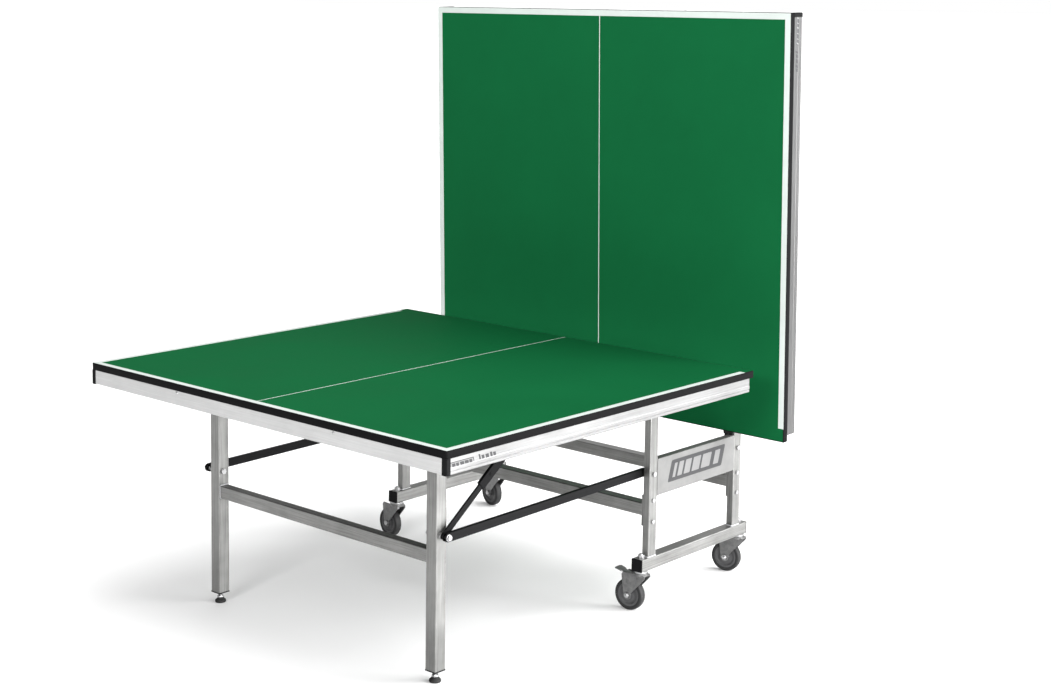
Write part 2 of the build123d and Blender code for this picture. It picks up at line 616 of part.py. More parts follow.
def build_half(name):
    made = {
        "top_board": (board(), fold_top),
        "edge_band": (edge_band(), fold_top),
        "side_aprons": (side_aprons(), fold_top),
        "end_apron": (end_apron(), fold_top),
        "corner_caps": (corner_caps(), fold_top),
        "under_frame": (under_frame(), fold_top),
        "hinge_brackets": (hinge_brackets(), fold_top),
        "leg_brackets": (leg_brackets(), fold_top),
        "strike_plate": (strike_plate(LOCK_SIDE[name]), fold_top),
        "legs": (legs(), fold_legs),
        "leg_bar": (leg_bar(), fold_legs),
        "leg_caps": (leg_caps(), fold_legs),
        "leg_bolts": (leg_bolts(), fold_legs),
        "foot_near": (foot(-1), fold_legs),
        "foot_far": (foot(1), fold_legs),
        "struts": (struts(), fold_struts),
        "lock_arm": (lock_arm(LOCK_SIDE[name]), fold_arms),
        "lock_sleeve": (lock_sleeve(LOCK_SIDE[name]), fold_arms),
    }
    return {f"{piece}_{name}": place_half(name, shapes, fold) for piece, (shapes, fold) in made.items()}


def build_carriage():
    rail = cross_rail()
    nodes = {
        "posts": posts(),
        "bottom_rails": bottom_rails(),
        "rail_caps": rail_caps(),
        "side_panels": side_panels(),
        "cross_rail_a": [mirror(shape, about=Plane.YZ) for shape in rail],
        "cross_rail_b": rail,
        "rail_flanges": rail_flanges(),
        "frame_bolts": frame_bolts(),
        "stop_pads": stop_pads(),
        "caster_stems": caster_stems(),
    }
    for corner in CASTER_TURN:
        nodes[f"fork_{corner}"] = [at_caster(fork(), corner), at_caster(axle(), corner)]
        nodes[f"wheel_{corner}"] = [at_caster(wheel(), corner)]
        if corner in BRAKED:
            nodes[f"pedal_{corner}"] = [at_caster(pedal(), corner)]
    return nodes


def centre_shift(nodes):
    """How far to move everything along X so that the origin is under the middle of the table."""
    boxes = [shape.bounding_box() for shapes in nodes.values() for shape in shapes]
    return -(min(box.min.X for box in boxes) + max(box.max.X for box in boxes)) / 2


def main():
    nodes = {**build_half("a"), **build_half("b"), **build_carriage()}
    shift = centre_shift(nodes)
    os.makedirs("parts", exist_ok=True)
    for name, shapes in nodes.items():
        moved = [Pos(shift, 0, 0) * shape for shape in shapes]
        solids = [solid for shape in moved for solid in shape.solids()]
        export_step(Compound(children=solids), f"parts/{name}.step")
    print(f"{len(nodes)} nodes, net line at x = {shift:.4f}")


main()
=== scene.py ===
import logging
import math
from dataclasses import dataclass
from enum import Enum

import bmesh
import bpy
import numpy as np
from mathutils import Matrix, Vector


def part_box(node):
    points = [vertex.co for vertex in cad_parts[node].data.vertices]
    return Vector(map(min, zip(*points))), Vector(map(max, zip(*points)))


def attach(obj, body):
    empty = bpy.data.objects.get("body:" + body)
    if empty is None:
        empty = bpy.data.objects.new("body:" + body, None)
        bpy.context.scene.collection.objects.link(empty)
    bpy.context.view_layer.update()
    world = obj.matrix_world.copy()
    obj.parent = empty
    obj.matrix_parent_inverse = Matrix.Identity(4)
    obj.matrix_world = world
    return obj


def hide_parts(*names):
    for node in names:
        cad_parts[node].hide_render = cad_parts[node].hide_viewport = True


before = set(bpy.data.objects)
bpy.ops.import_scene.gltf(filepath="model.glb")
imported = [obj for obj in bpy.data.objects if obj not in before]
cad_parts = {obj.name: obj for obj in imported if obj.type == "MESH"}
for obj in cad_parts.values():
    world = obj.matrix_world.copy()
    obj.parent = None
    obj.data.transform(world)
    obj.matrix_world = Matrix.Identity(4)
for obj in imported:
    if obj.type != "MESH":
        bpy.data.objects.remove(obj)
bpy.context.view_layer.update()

LOG = logging.getLogger("folding_table")

Pair = tuple[float, float]
Triple = tuple[float, float, float]

MM = 0.001
NET_LINE_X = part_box("top_board_a")[1].x + 5 * MM
FOLD_ANGLE = 91.4
LEG_TURN = 0.99125 * FOLD_ANGLE
TOP_PIVOT = (220 * MM, 716 * MM)
LEG_PIVOT = (1106 * MM, 708 * MM)
Z_TO_Y = Matrix.Rotation(math.pi / 2, 4, "X")
Z_TO_X = Matrix.Rotation(math.pi / 2, 4, "Y")


class Half(Enum):
    """The two halves of the top."""

    FLAT = "a"
    UPRIGHT = "b"


class Grain(Enum):
    """Which way the brushing of a metal runs, as stretch factors of its pattern along X, Y and Z."""

    ALONG_X = (5.0, 420.0, 420.0)
    ALONG_Y = (420.0, 5.0, 420.0)
    ALONG_Z = (420.0, 420.0, 5.0)
    NONE = (60.0, 60.0, 60.0)


# ---- placing ----
def turn_about(pivot: Pair, degrees: float) -> Matrix:
    """Turns about a line along Y.

    Args:
        pivot: the line's x and z, in metres.
        degrees: right-hand turn about +Y.

    Returns:
        The 4 by 4 matrix of the turn.
    """
    there = Matrix.Translation((pivot[0], 0.0, pivot[1]))
    back = Matrix.Translation((-pivot[0], 0.0, -pivot[1]))
    return there @ Matrix.Rotation(math.radians(degrees), 4, "Y") @ back


def top_place(half: Half) -> Matrix:
    """Carries a half drawn flat on the +X side to where its top rests.

    Args:
        half: which half.

    Returns:
        A mirror across the net line for the flat half, a fold about the post pivot for the other.
    """
    shift = Matrix.Translation((NET_LINE_X, 0.0, 0.0))
    if half is Half.FLAT:
        return shift @ Matrix.Diagonal((-1.0, 1.0, 1.0, 1.0))
    return shift @ turn_about(TOP_PIVOT, -FOLD_ANGLE)


def leg_place(half: Half) -> Matrix:
    """Carries a leg piece drawn on the flat +X half to where the legs rest.

    Args:
        half: which half.

    Returns:
        The top's placing, with the leg's own turn under the top for the upright half.
    """
    if half is Half.FLAT:
        return top_place(half)
    return top_place(half) @ turn_about(LEG_PIVOT, LEG_TURN)


# ---- surfaces ----
@dataclass
class Shell:
    """A surface as whole arrays: points (n, 3) in metres and four-sided faces (m, 4)."""

    points: np.ndarray
    faces: np.ndarray

    def moved(self, place: Matrix) -> "Shell":
        """The same surface carried by a 4 by 4 matrix."""
        matrix = np.array(place)
        return Shell(self.points @ matrix[:3, :3].T + matrix[:3, 3], self.faces)


def grid_shell(grid: np.ndarray, wrap_rows: bool = False, wrap_columns: bool = True) -> Shell:
    """Joins a grid of points into faces; row i, column j meets rows i + 1 and columns j + 1.

    Args:
        grid: points of shape (rows, columns, 3).
        wrap_rows: whether the last row meets the first.
        wrap_columns: whether the last column meets the first.

    Returns:
        The surface.
    """
    rows, columns = grid.shape[:2]
    i = np.arange(rows if wrap_rows else rows - 1)[:, None]
    j = np.arange(columns if wrap_columns else columns - 1)[None, :]
    i_next = (i + 1) % rows
    j_next = (j + 1) % columns
    corners = (i * columns + j, i_next * columns + j, i_next * columns + j_next, i * columns + j_next)
    faces = np.stack([np.broadcast_to(c, (i.size, j.size)) for c in corners], axis=-1)
    return Shell(grid.reshape(-1, 3), faces.reshape(-1, 4))


def capped(grid: np.ndarray, first, last) -> Shell:
    """Joins a grid into faces, its first and last rows drawn in to a pole each."""
    poles = [np.broadcast_to(pole, (1,) + grid.shape[1:]) for pole in (first, last)]
    return grid_shell(np.concatenate([poles[0], grid, poles[1]]))


def joined(shells: list[Shell]) -> Shell:
    """Puts several surfaces into one.

    Args:
        shells: the surfaces.

    Returns:
        One surface with all their points and faces.
    """
    starts = np.cumsum([0] + [len(s.points) for s in shells[:-1]])
    points = np.concatenate([s.points for s in shells])
    faces = np.concatenate([s.faces + start for s, start in zip(shells, starts)])
    return Shell(points, faces)


def revolve(profile: np.ndarray, segments: int = 48, closed: bool = False) -> Shell:
    """Spins a profile about Z: a point at radius r and height h goes to (r cos t, r sin t, h).

    Args:
        profile: (n, 2) radii and heights in metres, from the axis to the axis, or a closed ring.
        segments: steps of the turn.
        closed: whether the profile is a ring that meets itself.

    Returns:
        The surface.
    """
    t = np.linspace(0.0, 2 * np.pi, segments, endpoint=False)
    radius = profile[:, 0][:, None]
    height = np.broadcast_to(profile[:, 1][:, None], (len(profile), segments))
    grid = np.stack([radius * np.cos(t), radius * np.sin(t), height], axis=-1)
    return grid_shell(grid, wrap_rows=closed)


def rounded_loop(half_wide: float, half_high: float, corner: float, steps: int = 4) -> np.ndarray:
    """A rectangle's outline with quarter circles at its corners, going round once.

    Args:
        half_wide: half its size along the first axis.
        half_high: half its size along the second axis.
        corner: corner radius.
        steps: points on each quarter circle.

    Returns:
        (4 * steps, 2) points.
    """
    quarter = np.linspace(0.0, np.pi / 2, steps)
    starts = np.arange(4) * np.pi / 2
    angle = (starts[:, None] + quarter[None, :]).ravel()
    side = np.repeat(np.array([[1, 1], [-1, 1], [-1, -1], [1, -1]]), steps, axis=0)
    centre = side * np.array([half_wide - corner, half_high - corner])
    return centre + corner * np.stack([np.cos(angle), np.sin(angle)], axis=1)


def mitred_sweep(loop: np.ndarray, path: np.ndarray, closed: bool) -> Shell:
    """Carries a section along a path in the XY plane, its corners mitred.

    At each path point the section stands on the bisector of its two runs, stretched by one over the
    cosine of half the turn; its first axis points to the right of the path and its second is Z.

    Args:
        loop: (k, 2) section, across and up.
        path: (n, 3) path points.
        closed: whether the path meets itself.

    Returns:
        The surface, its open ends closed by a pole.
    """
    after = np.roll(path, -1, axis=0) - path
    before = np.roll(after, 1, axis=0)
    if not closed:
        after[-1] = before[-1]
        before[0] = after[0]
    after /= np.linalg.norm(after, axis=1, keepdims=True)
    before /= np.linalg.norm(before, axis=1, keepdims=True)
    right_a = np.stack([after[:, 1], -after[:, 0]], axis=1)
    right_b = np.stack([before[:, 1], -before[:, 0]], axis=1)
    middle = right_a + right_b
    middle /= np.linalg.norm(middle, axis=1, keepdims=True)
    middle /= np.sum(middle * right_a, axis=1, keepdims=True)
    across = np.concatenate([middle, np.zeros((len(path), 1))], axis=1)
    grid = path[:, None, :] + loop[None, :, :1] * across[:, None, :]
    grid[:, :, 2] += loop[None, :, 1]
    if closed:
        return grid_shell(grid, wrap_rows=True)
    return capped(grid, grid[0].mean(axis=0), grid[-1].mean(axis=0))


def loft(centres: np.ndarray, widths: np.ndarray, heights: np.ndarray, corner: float) -> Shell:
    """Rounded sections along Y, each with its own middle, half width (X) and half height (Z).

    Args:
        centres: (n, 3) middles.
        widths: (n,) half widths.
        heights: (n,) half heights.
        corner: corner radius as a share of the smaller half size.

    Returns:
        A closed surface, its ends drawn in to poles.
    """
    unit = rounded_loop(1.0, 1.0, corner, 5)
    x = centres[:, 0][:, None] + widths[:, None] * unit[None, :, 0]
    z = centres[:, 2][:, None] + heights[:, None] * unit[None, :, 1]
    y = np.broadcast_to(centres[:, 1][:, None], x.shape)
    return capped(np.stack([x, y, z], axis=-1), centres[0], centres[-1])


def weld_bead(start: tuple, end: tuple, radius: float, ripple: float = 2.2 * MM) -> Shell:
    """A rippled weld: a round bar whose radius swells and shrinks as a sine along its length.

    Args:
        start: one end, in metres.
        end: the other end.
        radius: mean radius.
        ripple: length of one ripple.

    Returns:
        The closed surface.
    """
    first = np.array(start, float)
    run = np.array(end, float) - first
    length = np.linalg.norm(run)
    ahead = run / length
    side = np.cross(ahead, [0.31, 0.53, 0.79])
    side /= np.linalg.norm(side)
    other = np.cross(ahead, side)
    s = np.linspace(0.0, length, max(6, int(length / ripple * 4)))
    taper = np.clip(np.minimum(s, length - s) / radius, 0.0, 1.0) ** 0.5
    r = radius * taper * (1 + 0.16 * np.sin(2 * np.pi * s / ripple))
    t = np.linspace(0, 2 * np.pi, 8, endpoint=False)
    ring = np.cos(t)[:, None] * side + np.sin(t)[:, None] * other
    grid = first + s[:, None, None] * ahead + r[:, None, None] * ring[None]
    return grid_shell(grid)


def weld_ring(corners: list[tuple], radius: float) -> list[Shell]:
    """Weld beads along every side of a closed ring of corners."""
    return [weld_bead(start, end, radius) for start, end in zip(corners, corners[1:] + corners[:1])]


def hex_nut(flats: float, low: float, high: float, chamfer: float) -> Shell:
    """A hexagon about Z: its outline radius is half the flats over the cosine of the angle from the
    nearest flat, cut by a cone at both rims.

    Args:
        flats: size across flats.
        low: bottom height.
        high: top height.
        chamfer: height of the chamfer.

    Returns:
        The closed surface.
    """
    t = np.linspace(0, 2 * np.pi, 36, endpoint=False)
    from_flat = (t + np.pi / 6) % (np.pi / 3) - np.pi / 6
    hexagon = flats / 2 / np.cos(from_flat)
    heights = np.array([low, low, low + chamfer, high - chamfer, high, high])
    caps = np.array([0.0, 0.47, 0.60, 0.60, 0.47, 0.0]) * flats
    r = np.minimum(hexagon[None, :], caps[:, None])
    z = np.broadcast_to(heights[:, None], r.shape)
    return grid_shell(np.stack([r * np.cos(t), r * np.sin(t), z], axis=-1))


def slanted_bar(middle: float, half_wide: float, half_high: float, half_thick: float) -> Shell:
    """A thin plate in the XY plane whose short sides lean: across by 0.3 of the height.

    Args:
        middle: x of its middle, in metres.
        half_wide: half its width.
        half_high: half its height.
        half_thick: half its thickness.

    Returns:
        The closed surface.
    """
    loop = rounded_loop(half_wide, half_high, min(half_wide, half_high) * 0.15, 4)
    leaning = np.stack([middle + loop[:, 0] + 0.3 * loop[:, 1], loop[:, 1], 0 * loop[:, 0]], axis=1)
    centre = np.broadcast_to([middle, 0.0, 0.0], leaning.shape)
    sheets = [centre, leaning, leaning, centre]
    lifts = np.array([-half_thick, -half_thick, half_thick, half_thick])
    grid = np.stack(sheets) + lifts[:, None, None] * np.array([0.0, 0.0, 1.0])
    return grid_shell(grid)


def printed(bars: tuple, places: list[Matrix]) -> list[Shell]:
    """A table of slanted bars on each place; a row holds one bar's four measures, in millimetres."""
    return [slanted_bar(*(v * MM for v in row)).moved(place) for place in places for row in bars]


def pan_head(radius: float, high: float) -> Shell:
    """A screw's domed head about Z: a quarter ellipse spun round, with a flat underneath.

    Args:
        radius: its radius.
        high: its height.

    Returns:
        The closed surface.
    """
    t = np.linspace(0, np.pi / 2, 5)
    dome = np.stack([radius * np.cos(t), high * np.sin(t)], axis=1)
    return revolve(np.concatenate([[[0.0, 0.0]], dome]), 14)


def turned_to(point: tuple, towards: tuple) -> Matrix:
    """Stands a shape drawn about Z at a point, its Z turned to a direction."""
    turn = Vector(towards).to_track_quat("Z", "Y").to_matrix().to_4x4()
    return Matrix.Translation(point) @ turn


# ---- finishes ----
class Tree:
    """The nodes of a material or a world, with short calls for adding and joining them."""

    def __init__(self, owner) -> None:
        """Takes up the owner's nodes.

        Args:
            owner: the material or world.
        """
        owner.use_nodes = True
        self.nodes = owner.node_tree.nodes
        self.links = owner.node_tree.links

    def give(self, target, value) -> None:
        """Joins an input to a socket, or sets it to a number, a vector or a colour.

        Args:
            target: the input.
            value: what it is given.
        """
        if isinstance(value, bpy.types.NodeSocket):
            self.links.new(value, target)
        elif target.type == "RGBA":
            target.default_value = (*value, 1.0)
        else:
            target.default_value = value

    def add(self, kind: str, output: str | None, inputs: dict, **options):
        """Adds a node.

        Args:
            kind: its type.
            output: which of its outputs is wanted, if any.
            inputs: what each of its inputs is given.
            options: its settings, made before its inputs.

        Returns:
            The output's socket, if one is wanted.
        """
        node = self.nodes.new("ShaderNode" + kind)
        for key, value in options.items():
            setattr(node, key, value)
        for key, value in inputs.items():
            self.give(node.inputs[key], value)
        return node.outputs[output] if output else None


class MaterialTree(Tree):
    """A new material's nodes, round one principled shader."""

    def __init__(self, name: str) -> None:
        """Makes the material with its shader.

        Args:
            name: its name.
        """
        self.material = bpy.data.materials.new(name)
        super().__init__(self.material)
        self.nodes.clear()
        self.shader = self.nodes.new("ShaderNodeBsdfPrincipled")
        self.add("OutputMaterial", None, {"Surface": self.shader.outputs["BSDF"]})
        self.place = self.add("TexCoord", "Object", {})

    def surface(self, **inputs) -> None:
        """Gives the shader its inputs, each named with an underscore for a space."""
        for key, value in inputs.items():
            self.give(self.shader.inputs[key.replace("_", " ")], value)

    def mapped(self, scale: tuple = (1, 1, 1), turn: tuple = (0, 0, 0), move: tuple = (0, 0, 0)):
        """Object coordinates moved, turned and stretched."""
        steps = {"Vector": self.place, "Location": move, "Rotation": turn, "Scale": scale}
        return self.add("Mapping", "Vector", steps)

    def noise(self, vector, scale: float, detail: float, rough: float):
        """A noise pattern's value, 0 to 1."""
        inputs = {"Vector": vector, "Scale": scale, "Detail": detail, "Roughness": rough}
        return self.add("TexNoise", "Fac", inputs)

    def ramp(self, value, low: float, high: float, to_low: float, to_high: float):
        """Stretches a value from one range to another, held at both ends."""
        inputs = {"Value": value, "From Min": low, "From Max": high, "To Min": to_low, "To Max": to_high}
        return self.add("MapRange", "Result", inputs)

    def blend(self, factor, first, second):
        """Two colours blended by a value; each is a socket or a colour."""
        return self.add("Mix", "Result", {"Factor": factor, "A": first, "B": second}, data_type="RGBA")

    def sum(self, first, second, kind: str = "ADD"):
        """Two values put together by one sum."""
        return self.add("Math", "Value", {0: first, 1: second}, operation=kind)

    def bump(self, height, strength: float, distance: float, edge: float) -> None:
        """Gives the surface its relief, over edges softened by a small radius.

        Args:
            height: the relief's socket.
            strength: how strong it is.
            distance: its depth, in metres.
            edge: the softened edges' radius, or 0 for crisp ones.
        """
        inputs = {"Strength": strength, "Distance": distance, "Height": height}
        if edge:
            inputs["Normal"] = self.add("Bevel", "Normal", {"Radius": edge}, samples=4)
        self.surface(Normal=self.add("Bump", "Normal", inputs))


def shade(colour: tuple, factor: float) -> tuple:
    """A colour made lighter or darker by a factor."""
    return tuple(min(1.0, c * factor) for c in colour)


def grey(value: float, blue: float = 0.0) -> Triple:
    """A neutral grey whose blue is shifted a little."""
    return (value, value, value + blue)


@dataclass(frozen=True)
class BrushedMetal:
    """Zinc-plated or satin metal: fine streaks along one axis, soft cloudy patches, a few dull spots."""

    name: str
    colour: Triple
    roughness: float
    grain: Grain = Grain.NONE
    metallic: float = 0.9
    streak: float = 0.10
    edge: float = 0.8 * MM

    def material(self) -> bpy.types.Material:
        """Builds the finish.

        Returns:
            The material.
        """
        tree = MaterialTree(self.name)
        streaks = tree.noise(tree.mapped(self.grain.value), scale=1.0, detail=4.0, rough=0.65)
        clouds = tree.noise(tree.mapped(), scale=9.0, detail=4.0, rough=0.6)
        both = tree.sum(tree.sum(streaks, 0.65, "MULTIPLY"), tree.sum(clouds, 0.35, "MULTIPLY"))
        spread = tree.ramp(both, 0.36, 0.64, 0.0, 1.0)
        colour = tree.blend(spread, shade(self.colour, 1 - self.streak), shade(self.colour, 1 + self.streak))
        rough = tree.ramp(both, 0.35, 0.65, self.roughness - 0.07, self.roughness + 0.10)
        tree.surface(Base_Color=colour, Metallic=self.metallic, Roughness=rough)
        tree.bump(streaks, 0.12, 0.15 * MM, self.edge)
        return tree.material


@dataclass(frozen=True)
class Coating:
    """Powder coat, moulded plastic, paint or rubber: a fine skin texture, patches and rubbed marks."""

    name: str
    colour: Triple
    roughness: float
    skin: float = 900.0
    depth: float = 0.12
    spread: float = 0.15
    rubbed: float = 0.0
    edge: float = 0.8 * MM
    gloss: float = 0.25

    def material(self) -> bpy.types.Material:
        """Builds the finish.

        Returns:
            The material.
        """
        tree = MaterialTree(self.name)
        plain = tree.mapped()
        patches = tree.noise(plain, scale=14.0, detail=5.0, rough=0.6)
        texture = tree.noise(plain, scale=self.skin, detail=2.0, rough=0.5)
        tone = tree.ramp(patches, 0.32, 0.68, 0.0, 1.0)
        colour = tree.blend(tone, shade(self.colour, 1 - self.spread), shade(self.colour, 1 + self.spread))
        if self.rubbed:
            marks = tree.noise(plain, scale=46.0, detail=6.0, rough=0.72)
            worn = tree.ramp(marks, 0.60, 0.78, 0.0, self.rubbed)
            colour = tree.blend(worn, colour, tuple(0.5 * c + 0.16 for c in self.colour))
        rough = tree.ramp(patches, 0.3, 0.7, self.roughness - 0.06, self.roughness + 0.08)
        tree.surface(Base_Color=colour, Roughness=rough, Specular_IOR_Level=self.gloss)
        tree.bump(texture, self.depth, 0.2 * MM, self.edge)
        return tree.material


@dataclass(frozen=True)
class BoardPaint:
    """Matt playing coat on one face of a board, and sealed fibreboard on the other.

    The two faces are told apart by the height through the board, read after the piece's place is
    turned back to flat.
    """

    name: str
    half: Half
    colour: Triple = (0.0041, 0.083, 0.0262)
    back: Triple = (0.040, 0.045, 0.041)
    surface: float = 760 * MM
    split: Pair = (12 * MM, 11 * MM)
    gloss: float = 0.012

    def material(self) -> bpy.types.Material:
        """Builds the finish.

        Returns:
            The material.
        """
        tree = MaterialTree(self.name)
        flat = tree.mapped()
        if self.half is Half.UPRIGHT:
            undo = top_place(self.half).inverted()
            flat = tree.mapped(turn=tuple(undo.to_euler("XYZ")), move=tuple(undo.translation))
        level = tree.add("SeparateXYZ", "Z", {0: flat})
        face = tree.ramp(level, self.surface - self.split[0], self.surface - self.split[1], 0.0, 1.0)
        patches = tree.noise(flat, scale=2.6, detail=4.0, rough=0.6)
        tone = tree.ramp(patches, 0.3, 0.7, 0.0, 1.0)
        paint = tree.blend(tone, shade(self.colour, 0.95), shade(self.colour, 1.05))
        chips = tree.noise(flat, scale=260.0, detail=3.0, rough=0.7)
        flakes = tree.ramp(chips, 0.4, 0.62, 0.0, 1.0)
        fibre = tree.blend(flakes, shade(self.back, 0.75), shade(self.back, 1.3))
        fine = tree.noise(flat, scale=700.0, detail=3.0, rough=0.6)
        rough = tree.ramp(patches, 0.3, 0.7, 0.62, 0.72)
        colour = tree.blend(face, fibre, paint)
        tree.surface(Base_Color=colour, Roughness=rough, Specular_IOR_Level=self.gloss)
        tree.bump(fine, 0.10, 0.12 * MM, 0.0)
        return tree.material


def zinc_tube(grain: Grain) -> BrushedMetal:
    """Zinc-plated tube brushed along one axis."""
    return BrushedMetal(f"zinc_tube_{grain.name.lower()}", grey(0.205, -0.005), 0.36, grain,
                        metallic=0.85, streak=0.34)


def apron_with_painted_light(grain: Grain, tone: float, streak: float) -> BrushedMetal:
    """A satin apron brushed along one axis, its tone set per copy as painted light and shade."""
    return BrushedMetal(f"apron_with_painted_light_{grain.name.lower()}", grey(tone), 0.38, grain,
                        metallic=0.6, streak=streak)


@dataclass(frozen=True)
class Palette:
    """Every finish of the table, made once."""

    steel_x: BrushedMetal = zinc_tube(Grain.ALONG_X)
    steel_y: BrushedMetal = zinc_tube(Grain.ALONG_Y)
    steel_z: BrushedMetal = zinc_tube(Grain.ALONG_Z)
    # The apron tones are painted light and shade: one satin apron, lighter on the end aprons and darker on
    # the upright half's side aprons than on the flat half's.
    apron_x_painted_lit: BrushedMetal = apron_with_painted_light(Grain.ALONG_X, tone=0.205, streak=0.20)
    apron_y_painted_bright: BrushedMetal = apron_with_painted_light(Grain.ALONG_Y, tone=0.46, streak=0.12)
    apron_z_painted_shade: BrushedMetal = apron_with_painted_light(Grain.ALONG_Z, tone=0.075, streak=0.20)
    bolt: BrushedMetal = BrushedMetal("bright_zinc_bolt", grey(0.42, 0.005), roughness=0.30, metallic=1.0,
        streak=0.20, edge=1.0 * MM)
    weld: BrushedMetal = BrushedMetal("zinc_weld", grey(0.58, 0.02), roughness=0.42, streak=0.18, edge=0.0)
    fork: BrushedMetal = BrushedMetal("pressed_fork_zinc", grey(0.155), roughness=0.32, metallic=0.85,
        streak=0.30)
    band: Coating = Coating("black_edge_band", grey(0.0045, 0.0003), roughness=0.52, skin=700.0,
        depth=0.10, rubbed=0.02, edge=0.6 * MM, gloss=0.03)
    cap: Coating = Coating("black_moulded_cap", grey(0.0055, 0.0005), roughness=0.50, skin=520.0,
        depth=0.16, rubbed=0.04, gloss=0.05)
    black: Coating = Coating("black_powder_coat", grey(0.006, 0.0005), roughness=0.46, depth=0.22,
        rubbed=0.05, edge=1.2 * MM, gloss=0.06)
    bracket: Coating = Coating("dark_bracket_coat", grey(0.03, 0.002), roughness=0.45, depth=0.22,
        rubbed=0.12)
    panel: Coating = Coating("light_grey_panel_paint", grey(0.135, -0.002), roughness=0.42,
        skin=800.0, depth=0.10, spread=0.12)
    decal: Coating = Coating("dark_grey_print", grey(0.03, 0.002), roughness=0.45, skin=800.0,
        depth=0.05, spread=0.06, edge=0.0)
    print_light: Coating = Coating("light_grey_print", grey(0.15), roughness=0.40, skin=800.0,
        depth=0.05, spread=0.05, edge=0.0)
    pedal: BrushedMetal = BrushedMetal("pressed_pedal_steel", grey(0.22), roughness=0.38, metallic=0.8,
        streak=0.2, edge=0.4 * MM)
    rubber: Coating = Coating("black_rubber", grey(0.014), roughness=0.62, skin=380.0,
        depth=0.25, rubbed=0.15)
    tyre: Coating = Coating("grey_wheel_rubber", grey(0.017, 0.0005), roughness=0.55, skin=300.0,
        depth=0.20, rubbed=0.15, edge=0.4 * MM)
    hub: Coating = Coating("grey_wheel_hub", grey(0.06, 0.002), roughness=0.42, skin=500.0,
        depth=0.12, spread=0.10, rubbed=0.05, edge=0.4 * MM)
    lines: Coating = Coating("white_line_paint", (0.47, 0.51, 0.49), roughness=0.55, skin=600.0,
        depth=0.06, spread=0.03, edge=0.0)


PALETTE = Palette()


def added(name: str, data) -> bpy.types.Object:
    """A new object in the scene.

    Args:
        name: its name.
        data: its mesh, light or camera.

    Returns:
        The object.
    """
    made = bpy.data.objects.new(name, data)
    bpy.context.scene.collection.objects.link(made)
    return made


class Workshop:
    """Makes pieces and dresses CAD nodes, keeping one material for each finish."""

    def __init__(self) -> None:
        """Starts with no materials made."""
        self.made: dict[str, bpy.types.Material] = {}

    def material(self, finish) -> bpy.types.Material:
        """The finish's material, made the first time it is asked for."""
        if finish.name not in self.made:
            self.made[finish.name] = finish.material()
        return self.made[finish.name]

    def dress(self, finishes: dict, ending: str = "") -> None:
        """Gives CAD nodes their finishes.

        Args:
            finishes: each node's finish, by its name without the ending.
            ending: what all their names end with.
        """
        for start, finish in finishes.items():
            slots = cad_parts[start + ending].data.materials
            slots.clear()
            slots.append(self.material(finish))
            LOG.info("dressed %s with %s", start + ending, finish.name)

    def piece(self, name: str, shells: list[Shell], finish, body: str, slot: str,
              replaces: tuple[str, ...] = (), sharp: float = 38.0) -> None:
        """Turns surfaces into one finished piece on a body.

        Args:
            name: the piece's name.
            shells: its closed surfaces, already in place.
            finish: its finish.
            body: the body that it rides on.
            slot: the material slot's name; not used.
            replaces: CAD nodes that it stands for.
            sharp: edges sharper than this many degrees stay crisp.
        """
        shell = joined(shells)
        mesh = bpy.data.meshes.new(name)
        mesh.from_pydata(shell.points.tolist(), [], shell.faces.tolist())
        work = bmesh.new()
        work.from_mesh(mesh)
        bmesh.ops.remove_doubles(work, verts=work.verts, dist=2e-6)
        bmesh.ops.dissolve_degenerate(work, edges=work.edges, dist=1e-7)
        bmesh.ops.recalc_face_normals(work, faces=work.faces)
        work.to_mesh(mesh)
        work.free()
        mesh.shade_smooth()
        mesh.set_sharp_from_angle(angle=math.radians(sharp))
        mesh.materials.append(self.material(finish))
        made = added(name, mesh)
        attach(made, body)
        if replaces:
            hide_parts(*replaces)
        LOG.info("built %s, %d faces", name, len(mesh.polygons))


